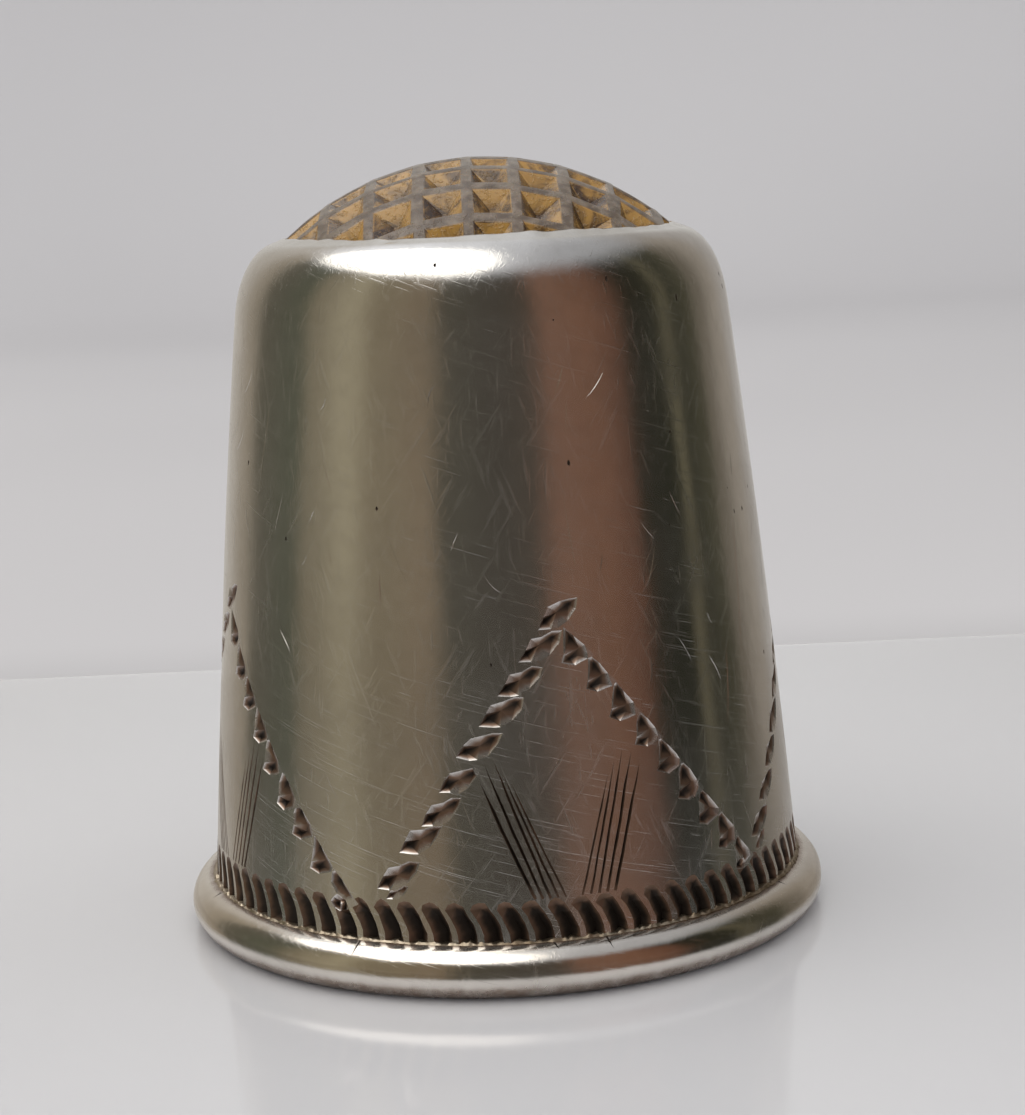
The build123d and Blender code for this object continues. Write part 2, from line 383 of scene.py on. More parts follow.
def carved_ring(name, point_at, scale, levels, columns, seam_at, uncut_darkening, cuts, closing):
    """Closed ring whose outside is carved.

    The carved domain is (angle * scale, along), and levels are the heights of its rows.
    seam_at(along) is the angle of the seam, and the next argument how much darker the uncut surface is made,
    from 0 to 1.
    closing lists the rings, as functions of the angle, that lead from the domain's top edge
    round the inside to its bottom edge.
    """
    around = 2 * math.pi * scale
    rows = len(levels) - 1
    seam = [(seam_at(along) * scale, along) for along in levels]
    bottom = [(seam[0][0] - around + around * i / columns, levels[0]) for i in range(columns)]
    top = [(seam[-1][0] - around * i / columns, levels[-1]) for i in range(columns)]
    left = [(s - around, v) for s, v in reversed(seam)]
    border = bottom + seam[:-1] + top + left[:-1]
    fill = []
    for row in range(1, rows):
        shift = 0.5 if row % 2 else 0.0
        edge = seam[row][0] - around
        steps = range(1, columns - (row % 2))
        fill += [(edge + around * (i + shift) / columns, levels[row]) for i in steps]
    fill = clear_of(np.array(fill), cuts, 0.25 * around / columns)
    flat, depth, border_number, triangles, in_cut = triangulate(border, fill.tolist(), cuts)

    # The left seam's points are the right seam's, one turn back
    by_number = {n: i for i, n in enumerate(border_number) if n >= 0}
    first_left = len(bottom) + len(seam) - 1 + len(top)
    twin = {by_number[0]: by_number[len(bottom)]}
    for i in range(1, rows + 1):
        twin[by_number[first_left + rows - i]] = by_number[len(bottom) + i]
    faces = [[twin.get(i, i) for i in t] for t in triangles]
    angle, along = flat[:, 0] / scale, flat[:, 1]
    points = point_at(angle, along, depth)
    faces = [f if turns_left(flat[t]) else f[::-1] for f, t in zip(faces, triangles)]
    wall_normals = surface_normals(point_at, angle, along)

    # Corner normals: the true surface's on the wall, each facet's own in a cut
    normals_for, patina_and_shade = {}, []
    for index, (face, cut) in enumerate(zip(faces, in_cut)):
        if cut < 0:
            normals_for[index] = wall_normals[face]
            patina_and_shade += list(uncut_darkening(along[face]))
        else:
            a, b, c = points[face]
            facet = np.cross(b - a, c - a)
            normals_for[index] = np.repeat((facet / np.linalg.norm(facet))[None], 3, 0)
            # Patina and painted shade: a cut is darker the deeper its floor
            darkness = cuts[cut].darkness
            patina_and_shade += [darkness + (1 - darkness) * min(1.0, d / DARKEST_DEPTH) for d in depth[face]]

    top_ids = [by_number[len(bottom) + rows + i] for i in range(columns)][::-1]
    top_ids = top_ids[-1:] + top_ids[:-1]
    bottom_ids = [twin.get(by_number[i], by_number[i]) for i in range(columns)]
    column_angle = (seam[-1][0] - around) / scale + 2 * math.pi * np.arange(columns) / columns
    points = list(points)
    previous = top_ids
    for ring in closing:
        first = len(points)
        points += list(ring(column_angle))
        current = list(range(first, first + columns))
        faces += bridge(previous, current)
        previous = current
    faces += bridge(previous, bottom_ids)
    patina_and_shade += [0.0] * (4 * (len(faces) - len(in_cut)))
    used, faces = only_used(faces)
    return make_mesh(name, [points[i] for i in used], faces, normals_for, {"patina_and_shade": patina_and_shade})


def only_used(faces):
    """Numbers of the points that the faces use, and the faces renumbered to those alone."""
    used = sorted({i for f in faces for i in f})
    renumber = {old: new for new, old in enumerate(used)}
    return used, [[renumber[i] for i in f] for f in faces]


def turns_left(corners):
    """Whether the corners of a flat triangle run anticlockwise."""
    (ax, ay), (bx, by), (cx, cy) = corners
    return (bx - ax) * (cy - ay) > (cx - ax) * (by - ay)


def bridge(lower, upper):
    """Quads from one ring of point numbers up to the next."""
    count = len(lower)
    following = [(i + 1) % count for i in range(count)]
    return [[lower[i], lower[j], upper[j], upper[i]] for i, j in enumerate(following)]


# ---- engraving

HAND = np.random.RandomState(5)


def wander(points, amount):
    """The points, each moved a little across and up, as by hand."""
    return [(p[0] + HAND.normal(0, amount), p[1] + HAND.normal(0, amount), *p[2:]) for p in points]


def reshape(points, turn, size):
    """The points turned and resized about their zero, with their depths."""
    cosine, sine = math.cos(turn) * size, math.sin(turn) * size
    return [
        (x * cosine - y * sine, x * sine + y * cosine, *[size * d for d in deep])
        for x, y, *deep in points
    ]


def spread(points, azimuth, height=0.0):
    """Local (across, up) points put on the carved domain, on the near side of the seam."""
    if azimuth > SEAM_AZIMUTH:
        azimuth -= 360
    flat = []
    for across, up, *deep in points:
        angle = math.radians(azimuth) + across / wall_radius(height + up)
        flat.append((angle * MOUTH_RADIUS, height + up, *deep))
    return flat


def leaf_cut(azimuth):
    """One leaf of the row above the rim."""
    outline = wander(LEAF_OUTLINE, 0.012)
    floor = wander(LEAF_FLOOR, 0.015)
    return Cut(spread(outline, azimuth), spread(floor, azimuth), LEAF_DARKNESS)


def limb_cut(outline, floor, azimuth, height, size):
    """One cut of the zigzag, turned and sized a little unevenly."""
    turn, size = HAND.normal(0, 0.05), size * HAND.uniform(0.95, 1.07)
    outline = reshape(wander(outline, 0.015), turn, size)
    floor = reshape(wander(floor, 0.015), turn, size)
    return Cut(spread(outline, azimuth, height), spread(floor, azimuth, height), LIMB_DARKNESS)


def limb_cuts(outline, floor, head, foot):
    """Cuts of one limb, evenly from its head to its foot, both (azimuth, height)."""
    cuts = []
    for index in range(CUTS_PER_LIMB):
        share = index / (CUTS_PER_LIMB - 1)
        azimuth, height = (a + (b - a) * share for a, b in zip(head, foot))
        azimuth, height = azimuth + HAND.normal(0, 0.15), height + HAND.normal(0, 0.03)
        cuts.append(limb_cut(outline, floor, azimuth, height, LIMB_CUT_SIZE))
    return cuts


def line_cut(head, foot, half_width, depth, darkness, bow=0.0, open_foot=True):
    """Long thin cut between two (azimuth, height) points, pointed at its head."""
    length = math.hypot((foot[0] - head[0]) * math.radians(1) * MOUTH_RADIUS, foot[1] - head[1])
    count = max(5, int(length / 0.45))
    shares = [i / count for i in range(count + 1)]
    fullness = [min(1.0, s / 0.3, 1.0 if open_foot else (1 - s) / 0.3) for s in shares]
    near = head[0] - 360 if head[0] > SEAM_AZIMUTH else head[0]
    start = math.radians(near) * MOUTH_RADIUS
    run = math.radians(foot[0] - head[0]) * MOUTH_RADIUS
    rise = foot[1] - head[1]
    aside = Vector((-rise, run)).normalized()
    middle = []
    for share in shares:
        offset = bow * 4 * share * (1 - share) + HAND.normal(0, 0.006)
        middle.append(Vector((start + run * share, head[1] + rise * share)) + aside * offset)
    widths = [half_width * full * HAND.uniform(0.85, 1.15) for full in fullness]
    left = [m + aside * w for m, w in zip(middle, widths)]
    right = [m - aside * w for m, w in zip(middle, widths)]
    if open_foot:
        outline = left[1:] + right[:0:-1] + [middle[0]]
    else:
        outline = left[1:-1] + [middle[-1]] + right[-2:0:-1] + [middle[0]]
    floor = [(m.x, m.y, depth * full) for m, full in zip(middle[1:-1], fullness[1:-1])]
    return Cut(outline, floor, darkness)


def fan_cuts(meeting, fan):
    """Fine lines of one fan, the deepest of them outermost."""
    cuts = []
    for index, (height, depth) in enumerate(zip(FAN_HEIGHTS, FAN_DEPTHS)):
        head = (meeting + fan["head"] + fan["head_step"] * index + HAND.normal(0, 0.12), height)
        foot = (meeting + fan["foot"] + fan["foot_step"] * index + HAND.normal(0, 0.08), FAN_FOOT_HEIGHT)
        cuts.append(line_cut(head, foot, FAN_HALF_WIDTH * (0.45 + 8 * depth), depth, FAN_DARKNESS))
    return cuts


def ding(azimuth, height, radius, depth):
    """Small dent with an uneven edge."""
    corners = 7
    outline = []
    for corner in range(corners):
        turn = 2 * math.pi * corner / corners
        reach = radius * HAND.uniform(0.65, 1.15)
        outline.append((reach * math.cos(turn), 1.8 * reach * math.sin(turn)))
    floor = spread([(0.0, 0.0, depth)], azimuth, height)
    return Cut(spread(outline, azimuth, height), floor, DING_DARKNESS)


def crosses(cut, others, margin):
    """Whether a cut comes near any of the others' outlines."""
    ring = np.array(cut.outline)
    low, high = ring.min(0) - margin, ring.max(0) + margin
    for other in others:
        outline = np.array(other.outline)
        if ((outline.max(0) > low) & (outline.min(0) < high)).all():
            return True
    return False


def wear_marks(engraved):
    """Scratches and dents of long use, clear of the engraving and the seam."""
    marks = []
    first, last = SEAM_AZIMUTH - 360 + SEAM_CLEARANCE, SEAM_AZIMUTH - SEAM_CLEARANCE
    while len(marks) < SCRATCHES:
        azimuth, height = HAND.uniform(first, last), HAND.uniform(3.0, 16.4)
        length = HAND.exponential(1.1) + 0.4
        slope = math.radians(90 + HAND.normal(0, 28))
        across = math.degrees(length * math.cos(slope) / MOUTH_RADIUS)
        foot = (azimuth + across, height - length * math.sin(slope))
        if foot[1] < BAND_FOOT + 0.5 or abs(across) > 7:
            continue
        half_width, depth = HAND.uniform(0.006, 0.014), HAND.uniform(0.003, 0.010)
        bow = HAND.normal(0, 0.04)
        mark = line_cut((azimuth, height), foot, half_width, depth, SCRATCH_DARKNESS, bow, False)
        if not crosses(mark, engraved + marks, 0.06):
            marks.append(mark)
    while len(marks) < SCRATCHES + DINGS:
        azimuth, height = HAND.uniform(first, last), HAND.uniform(2.8, 18.4)
        mark = ding(azimuth, height, HAND.uniform(0.018, 0.045), HAND.uniform(0.02, 0.04))
        if not crosses(mark, engraved + marks, 0.05):
            marks.append(mark)
    return marks


SEAM_LEAF = LEAF_FIRST + LEAF_PITCH * round((TRIANGLES[1][2] + 3 - LEAF_FIRST) / LEAF_PITCH)
SEAM_AZIMUTH = SEAM_LEAF + 3.0


def seam_at(along):
    """Angle of the seam, which runs down the ridge beside a leaf."""
    (head_across, head), (foot_across, foot) = LEAF_RIDGE_HEAD, LEAF_RIDGE_FOOT
    share = min(1.0, max(0.0, (head - along) / (head - foot)))
    across = head_across + (foot_across - head_across) * share
    return math.radians(SEAM_LEAF) + across / wall_radius(min(along, head))


def engraving():
    """Every cut of the band: the leaves, the zigzag, the fans and the marks of wear."""
    cuts = []
    for index in range(LEAF_COUNT):
        cuts.append(leaf_cut(LEAF_FIRST + LEAF_PITCH * index))
    for left_foot, peak, right_foot, meeting in TRIANGLES:
        head, foot = (peak + LEFT_HEAD[0], LEFT_HEAD[1]), (left_foot + LEFT_FOOT[0], LEFT_FOOT[1])
        cuts += limb_cuts(LEFT_CUT_OUTLINE, LEFT_CUT_FLOOR, head, foot)
        last_azimuth, last_height = left_foot + LAST_CUT[0], LAST_CUT[1]
        cuts.append(
            limb_cut(LEFT_CUT_OUTLINE, LEFT_CUT_FLOOR, last_azimuth, last_height, LAST_CUT_SIZE)
        )
        head, foot = (peak + RIGHT_HEAD[0], RIGHT_HEAD[1]), (right_foot + RIGHT_FOOT[0], RIGHT_FOOT[1])
        cuts += limb_cuts(RIGHT_CUT_OUTLINE, RIGHT_CUT_FLOOR, head, foot)
        cuts += fan_cuts(meeting, LEFT_FAN)
        cuts += fan_cuts(meeting, RIGHT_FAN)
    return cuts + wear_marks(cuts)


# ---- silver pieces


def even_ring(radius, height):
    """Ring of points about the axis, as a function of their angles."""
    return lambda angle: round_axis(radius, angle, height)


def lip_ring(outside, proud):
    """Ring that follows the lip's uneven edge, proud of the stone's dome."""

    def ring(angle):
        radius = LIP_RADIUS + outside + ripple(LIP_WAVES, angle, 0.0)
        return round_axis(radius, angle, dome_height(radius, 0.0) + proud)

    return ring


def lining_radius(height):
    """Inner radius of the band's wall at a height."""
    return wall_radius(height) - WALL_THICKNESS


def silver_band():
    """Band with its engraving outside, its lip over the stone, and its plain lining."""
    lip = ((0.24, 0.165), (0.12, 0.105), (0.04, 0.058), (0.00, 0.022), (-0.01, -0.03))
    seat = [(5.62, 18.86), (SEAT_RADIUS, GIRDLE_TOP), (SEAT_RADIUS, BEARER_TOP)]
    lining = [(lining_radius(height), height) for height in evenly(BEARER_BASE, 0.12, 24)]
    mouth = [(lining_radius(0) + 0.06, 0.03), (lining_radius(0) + 0.14, 0.0)]
    foot = [(MOUTH_RADIUS - 0.08, 0.0), (MOUTH_RADIUS, 0.08)]
    inside = [lip_ring(*place) for place in lip]
    inside += [even_ring(*place) for place in seat + lining + mouth + foot]
    levels = evenly(BAND_FOOT, WALL_HEIGHT, WALL_ROWS)
    levels += evenly(WALL_HEIGHT, WALL_HEIGHT + SHOULDER_LENGTH, SHOULDER_ROWS)[1:]

    # Darker towards the band's foot, above the wire
    def uncut_darkening(along):
        return np.interp(along, (BAND_FOOT, BAND_FOOT + BAND_DARKENING_RISE), (BAND_DARKENING, 0.0))

    return carved_ring(
        "silver_band.engraved", band_point, MOUTH_RADIUS, levels, BAND_COLUMNS, seam_at, uncut_darkening,
        engraving(), inside,
    )


def slip(azimuth, length, lean):
    """Hairline where the graver slipped off the band on to the rim."""
    start = RIM_ARC_LENGTH - 0.10
    angle = math.radians(azimuth)
    foot = (angle * RIM_RADIUS + lean, start - length)
    outline = [(angle * RIM_RADIUS - 0.035, start), foot, (angle * RIM_RADIUS + 0.035, start)]
    middle = (angle * RIM_RADIUS + 0.25 * lean, start - 0.25 * length, 0.05)
    return Cut(outline, [middle], SLIP_DARKNESS)


def rim_wire():
    """Half-round wire round the mouth, worn uneven, with the graver's slips."""
    slips = [slip(azimuth, length, lean) for azimuth, length, lean in RIM_SLIPS]
    places = ((wall_radius(1.2) - 0.02, 1.2), (MOUTH_RADIUS, 0.3), (MOUTH_RADIUS, 0.0))
    inside = [even_ring(*place) for place in places]
    seam = math.radians(SEAM_AZIMUTH)
    levels = evenly(0.0, RIM_ARC_LENGTH, RIM_ROWS)

    # Darker on the wire's underside, and again at its top where it meets the band
    def uncut_darkening(along):
        places = (0.0, *RIM_DARKENING_FADES, *(RIM_ARC_LENGTH - short for short in RIM_DARKENING_RETURNS))
        return np.interp(along, places, RIM_DARKENING)

    return carved_ring(
        "rim_wire.worn", rim_point, RIM_RADIUS, levels, RIM_COLUMNS, lambda along: seam, uncut_darkening,
        slips, inside,
    )


def solder_seam():
    """Ragged bead of solder and burrs where the wire meets the band."""
    columns = 1080
    angle = 2 * math.pi * np.arange(columns) / columns
    rough = ripple(waves(41, 60, (40, 420), 0.0, 1.0), angle, 0.0)
    lumps = np.clip(0.5 + 0.55 * rough / rough.std(), 0, 2.2)
    tall = 0.04 + 0.038 * lumps + 0.012 * HAND.uniform(-1, 1, columns)
    wide = 0.05 + 0.028 * np.roll(lumps, 7) + 0.008 * HAND.uniform(-1, 1, columns)
    wall = wall_radius(RIM_HEIGHT)
    section = [
        (wall - 0.30, RIM_HEIGHT - 0.12),
        (wall + wide - 0.03, RIM_HEIGHT - 0.10),
        (wall + wide, RIM_HEIGHT + 0.005),
        (wall + 0.6 * wide, RIM_HEIGHT + 0.45 * tall),
        (wall + 0.25 * wide, RIM_HEIGHT + 0.85 * tall),
        (wall - 0.02, RIM_HEIGHT + tall),
        (wall - 0.26, RIM_HEIGHT + 0.7 * tall),
    ]
    points, faces = [], []
    for radius, height in section:
        points += list(round_axis(radius, angle, height))
    rings = [list(range(i * columns, (i + 1) * columns)) for i in range(len(section))]
    for lower, upper in zip(rings, rings[1:] + rings[:1]):
        faces += bridge(lower, upper)
    return make_mesh("solder_seam", points, faces)


# ---- stone


def pit_grid():
    """Centre, turn and half width of each pit, a little uneven as ground by hand."""
    pits = []
    for column in range(-5, 5):
        for row in range(-5, 5):
            x = PIT_GRID_X + (column + 0.5) * PIT_PITCH + HAND.normal(0, 0.02)
            y = PIT_GRID_Y + (row + 0.5) * PIT_PITCH + HAND.normal(0, 0.02)
            half = (PIT_PITCH - PIT_RIDGE) / 2 + HAND.normal(0, 0.015)
            if math.hypot(abs(x) - half, abs(y) - half) < STONE_EDGE:
                pits.append((x, y, HAND.normal(0, 0.02), half))
    return pits


def pit_depth(points, pits):
    """Depth of the ground stone under the dome at each point."""
    depth = np.zeros(len(points))
    for x, y, turn, half in pits:
        gap = points - (x, y)
        across = gap[:, 0] * math.cos(turn) + gap[:, 1] * math.sin(turn)
        upward = gap[:, 1] * math.cos(turn) - gap[:, 0] * math.sin(turn)
        share = np.maximum(abs(across), abs(upward)) / half
        below = PIT_DEPTH * np.interp(share, PIT_RINGS[::-1], PIT_RING_DEPTHS[::-1])
        depth = np.where(share < 1 - 1e-6, below, depth)
    return depth


def ground_top(pits):
    """The stone's top, seen flat from above, with the pits' lines among its edges."""
    columns = 180
    angle = 2 * math.pi * np.arange(columns) / columns
    points = [Vector((STONE_EDGE * math.sin(a), -STONE_EDGE * math.cos(a))) for a in angle]
    edges = [(i, (i + 1) % columns) for i in range(columns)]
    squares = []
    for x, y, turn, half in pits:
        first = len(points)
        for share in PIT_RINGS:
            out = half * share
            corners = [(-out, -out), (out, -out), (out, out), (-out, out)]
            ring = [Vector(p) + Vector((x, y)) for p in reshape(corners, turn, 1.0)]
            if share == PIT_RINGS[0]:
                squares.append(Cut(ring, []))
            points += ring
        for ring_start in range(first, len(points), 4):
            edges += [(ring_start + i, ring_start + (i + 1) % 4) for i in range(4)]
        edges += [(first + i, first + 8 + i) for i in range(4)]
    grid = np.arange(-STONE_EDGE, STONE_EDGE, 0.15)
    fill = np.array([(x, y) for x in grid for y in grid if math.hypot(x, y) < STONE_EDGE - 0.06])
    points += [Vector(p) for p in clear_of(fill, squares, 0.03).tolist()]
    placed, _, triangles, _, _, _ = delaunay_2d_cdt(points, edges, [], 0, 1e-6, False)
    flat = np.array(placed)
    radius = np.linalg.norm(flat, axis=1)
    inside = [list(t) for t in triangles if max(radius[list(t)]) < STONE_EDGE + 1e-4]
    faces = [t if turns_left(flat[t]) else t[::-1] for t in inside]
    return flat, radius, faces


def painted_facet_light(points, faces):
    """How bright each face's corners are painted: painted light by the way it faces, and a random tone by
    luck.
    """
    facet_light_and_tone = []
    for face in faces:
        a, b, c = points[face[:3]]
        normal = np.cross(b - a, c - a)
        lit = normal @ PAINTED_LIGHT_FROM / (np.linalg.norm(normal) + 1e-12)
        total = a + b + c
        luck = 0.5 + 0.5 * math.sin(5.1 * round(float(total[0]), 1) + 3.7 * round(float(total[1]), 1))
        facet_light_and_tone += [0.60 * min(1.0, max(0.0, 0.5 + 1.5 * lit)) + 0.40 * luck] * len(face)
    return facet_light_and_tone


def stone_cap():
    """Dome with its ground pits, and the girdle and flat base that the band hides."""
    pits = pit_grid()
    flat, radius, faces = ground_top(pits)
    depth = pit_depth(flat, pits)
    sphere = np.sqrt(DOME_RADIUS**2 - np.minimum(radius, DOME_RADIUS - 1) ** 2)
    shrink = 1 - depth / DOME_RADIUS
    top = np.stack([flat[:, 0] * shrink, flat[:, 1] * shrink, DOME_CENTRE + sphere * shrink], -1)
    points = list(top)
    on_edge = np.flatnonzero(abs(radius - STONE_EDGE) < 1e-4)
    turned = np.arctan2(flat[on_edge, 0], -flat[on_edge, 1])
    previous = [int(i) for i in on_edge[np.argsort(turned)]][::-1]
    edge_angle = np.sort(turned)[::-1]
    girdle = ((5.98, GIRDLE_TOP), (GIRDLE_RADIUS, GIRDLE_TOP - 0.05), (GIRDLE_RADIUS, STONE_BASE + 0.08))
    base = ((GIRDLE_RADIUS - 0.08, STONE_BASE), (3.0, STONE_BASE))
    for place in girdle + base:
        first = len(points)
        points += list(even_ring(*place)(edge_angle))
        current = list(range(first, first + len(edge_angle)))
        faces += bridge(previous, current)
        previous = current
    points.append(np.array([0.0, 0.0, STONE_BASE]))
    centre = len(points) - 1
    count = len(previous)
    faces += [[previous[i], previous[(i + 1) % count], centre] for i in range(count)]
    ground = np.concatenate([depth / PIT_DEPTH, np.zeros(len(points) - len(depth))])
    used, faces = only_used(faces)
    points = np.array([points[i] for i in used])
    # ground is each point's share of the pit depth; the other attribute is painted light on the facets, with
    # random tone
    looks = {"ground": [ground[used[i]] for f in faces for i in f], "facet_light_and_tone": painted_facet_light(points, faces)}
    return make_mesh("stone_cap.ground", points, faces, None, looks)


band = silver_band()
rim = rim_wire()
solder = solder_seam()
stone = stone_cap()

# ---- materials


class Graph:
    """A node tree, built by naming each node's kind, inputs and settings."""

    def __init__(self, tree):
        self.tree = tree
        tree.nodes.clear()

    def node(self, kind, inputs=None, **settings):
        """New node of a kind, with its inputs fed and its settings made."""
        made = self.tree.nodes.new("ShaderNode" + kind)
        for name, value in settings.items():
            setattr(made, name, value)
        for name, value in (inputs or {}).items():
            self.feed(made.inputs[name], value)
        return made

    def feed(self, socket, value):
        """Link an output to a socket, or set the socket to a plain value."""
        if isinstance(value, bpy.types.NodeSocket):
            self.tree.links.new(value, socket)
        else:
            socket.default_value = value

    def math(self, operation, a, b=0.0, c=0.0):
        """Result of one step of arithmetic."""
        return self.node("Math", {0: a, 1: b, 2: c}, operation=operation).outputs[0]

    def mix(self, share, a, b, blend="MIX"):
        """Colour between a and b."""
        return self.node("Mix", {0: share, 6: a, 7: b}, data_type="RGBA", blend_type=blend).outputs[2]

    def blend(self, share, a, b):
        """Number between a and b."""
        return self.node("Mix", {0: share, 2: a, 3: b}, data_type="FLOAT").outputs[0]

    def ease(self, value, low, high, to_low=0.0, to_high=1.0):
        """Value eased from the range low to high into another range."""
        limits = {"Value": value, "From Min": low, "From Max": high, "To Min": to_low, "To Max": to_high}
        return self.node("MapRange", limits, interpolation_type="SMOOTHSTEP").outputs[0]

    def scaled(self, vector, scale, turn=(0.0, 0.0, 0.0)):
        """Vector scaled along each axis, and turned."""
        return self.node("Mapping", {"Vector": vector, "Rotation": turn, "Scale": scale}).outputs[0]

    def noise(self, vector, scale, detail=2.0, roughness=0.5, distortion=0.0):
        """Cloudy noise from 0 to 1."""
        inputs = {"Vector": vector, "Scale": scale, "Detail": detail, "Roughness": roughness}
        return self.node("TexNoise", {**inputs, "Distortion": distortion}).outputs[0]

    def shaded(self, colour, shade):
        """Colour made darker by a number from 0 to 1."""
        grey = self.node("CombineColor", {0: shade, 1: shade, 2: shade}).outputs[0]
        return self.mix(1.0, colour, grey, "MULTIPLY")

    def bump(self, height, distance, normal=None):
        """Bump of a height from 0 to 1, its distance in millimetres."""
        inputs = {"Height": height, "Distance": distance * MM, "Strength": 1.0}
        if normal is not None:
            inputs["Normal"] = normal
        return self.node("Bump", inputs).outputs[0]

    def millimetres(self):
        """The piece's own coordinates, in millimetres."""
        own = self.node("TexCoord").outputs["Object"]
        return self.node("VectorMath", {0: own, 3: 1 / MM}, operation="SCALE").outputs[0]


def new_material(name):
    """Empty material and the graph that builds it."""
    material = bpy.data.materials.new(name)
    material.use_nodes = True
    return material, Graph(material.node_tree)


def finish_surface(graph, **inputs):
    """Principled surface with the named inputs, joined to the material's output."""
    surface = graph.node("BsdfPrincipled", {name.replace("_", " "): value for name, value in inputs.items()})
    graph.node("OutputMaterial", {"Surface": surface.outputs[0]})


def hairlines(graph, place, twist, density, rise):
    """Fine scratches, 0 to 1, that climb round the axis with a twist in radians a millimetre."""
    height = graph.node("SeparateXYZ", {0: place}).outputs["Z"]
    angle = graph.math("MULTIPLY", height, twist)
    turned = graph.node("VectorRotate", {"Vector": place, "Angle": angle}, rotation_type="Z_AXIS").outputs[0]
    stretched = graph.scaled(turned, (density, density, rise))
    return graph.ease(graph.noise(stretched, 1.0, 2.0, 0.6, 0.6), 0.58, 0.74)


# Layers of hairlines: twist, how many a millimetre, and how short they are
HAIRLINES = ((0.0, 8.0, 0.22), (0.05, 6.5, 0.30), (-0.09, 6.5, 0.4), (0.42, 6.0, 1.4))


def silver(name, bright, dull, roughness, tarnish):
    """Worn silver: cloudy tarnish, polishing hairlines, and dark patina with painted shade where it is cut.
    """
    material, graph = new_material(name)
    place = graph.millimetres()
    cloud = graph.ease(graph.noise(place, 0.22, 3.0, 0.5, 0.3), 0.38, 0.66)
    mottle = graph.noise(place, 2.2, 2.5, 0.6)
    lines = 0.0
    for twist, density, rise in HAIRLINES:
        lines = graph.math("MAXIMUM", lines, hairlines(graph, place, twist, density, rise))
    # Patina and painted shade in the cuts, darkest where deepest, and the darkening of the uncut silver:
    # brown first, then near black
    depth = graph.node("Attribute", attribute_name="patina_and_shade").outputs["Fac"]
    uneven = graph.math("MULTIPLY_ADD", mottle, 0.5, -0.25)
    shade_and_patina = graph.ease(graph.math("ADD", depth, graph.math("MULTIPLY", uneven, depth)), 0.10, 0.90)
    stain = graph.math("MULTIPLY", graph.ease(mottle, 0.35, 0.75), 0.35)
    worn = graph.math("MULTIPLY", graph.math("ADD", graph.math("MULTIPLY", cloud, 0.65), stain), tarnish)
    brown = graph.mix(graph.ease(shade_and_patina, 0.0, 0.55), graph.mix(worn, bright, dull), RED_OXIDE_AND_SHADE)
    colour = graph.mix(graph.ease(shade_and_patina, 0.45, 1.0), brown, DEEP_OXIDE_AND_SHADE)
    rough = graph.blend(cloud, roughness[0], roughness[1])
    rough = graph.math("MULTIPLY_ADD", lines, 0.09, rough)
    rough = graph.blend(shade_and_patina, rough, 0.5)
    normal = graph.bump(mottle, 0.0030)
    normal = graph.bump(lines, 0.0011, normal)
    metal = graph.math("MULTIPLY_ADD", shade_and_patina, -0.45, 1.0)
    finish_surface(graph, Base_Color=colour, Metallic=metal, Roughness=rough, Normal=normal)
    return material


def amber(name):
    """Amber-coloured stone: clear brown pits with gold faces, and rubbed grey ridges. The pits' gold and
    dark brown are painted light by the way each face turns, and painted shade darkens them towards their
    bottoms.
    """
    material, graph = new_material(name)
    place = graph.millimetres()
    cloud = graph.ease(graph.noise(place, 1.3, 4.0, 0.65, 0.8), 0.34, 0.66)
    fleck = graph.ease(graph.noise(place, 6.0, 3.0, 0.7), 0.50, 0.70)
    grain = graph.noise(place, 14.0, 3.0, 0.65)
    ground = graph.node("Attribute", attribute_name="ground").outputs["Fac"]
    pit = graph.ease(ground, 0.0, 0.10)
    # Painted light on the pits' faces, with random tone: dark brown where turned away, gold where turned to
    # the light
    facet_light_and_tone = graph.node("Attribute", attribute_name="facet_light_and_tone").outputs["Fac"]
    facet_light_and_tone = graph.math("MULTIPLY_ADD", cloud, 0.55, facet_light_and_tone)
    clear = graph.mix(graph.ease(facet_light_and_tone, 0.50, 1.30), (0.030, 0.012, 0.007, 1), (0.40, 0.225, 0.055, 1))
    clear = graph.mix(graph.math("MULTIPLY", fleck, 0.30), clear, (0.38, 0.24, 0.09, 1))
    # Painted shade: darker towards the bottoms of the pits
    clear = graph.mix(graph.ease(ground, 0.4, 1.0, 0.0, 0.6), clear, (0.035, 0.014, 0.007, 1))
    rubbed = graph.ease(graph.noise(place, 3.0, 3.0), 0.35, 0.65)
    ridge = graph.mix(rubbed, (0.095, 0.068, 0.048, 1), (0.19, 0.150, 0.115, 1))
    colour = graph.mix(pit, ridge, clear)
    rough = graph.blend(pit, 0.30, graph.blend(fleck, 0.14, 0.32))
    normal = graph.bump(grain, 0.006)
    normal = graph.bump(fleck, 0.018, normal)
    finish_surface(
        graph, Base_Color=colour, Roughness=rough, Normal=normal, IOR=1.54,
        Coat_Weight=graph.blend(pit, 0.1, 0.5), Coat_Roughness=0.12,
        Subsurface_Weight=0.15, Subsurface_Radius=(1.0, 0.5, 0.15), Subsurface_Scale=0.6 * MM,
    )
    return material


def cement(name):
    """Old setting cement: chalky, pitted and brown with age."""
    material, graph = new_material(name)
    place = graph.millimetres()
    crumb = graph.noise(place, 6.0, 5.0, 0.7)
    stain = graph.ease(graph.noise(place, 0.8, 3.0), 0.35, 0.65)
    colour = graph.mix(stain, (0.46, 0.40, 0.30, 1), (0.22, 0.16, 0.10, 1))
    colour = graph.mix(graph.ease(crumb, 0.55, 0.75), colour, (0.10, 0.075, 0.05, 1))
    rough = graph.ease(crumb, 0.2, 0.8, 0.75, 0.95)
    finish_surface(graph, Base_Color=colour, Roughness=rough, Normal=graph.bump(crumb, 0.04))
    return material


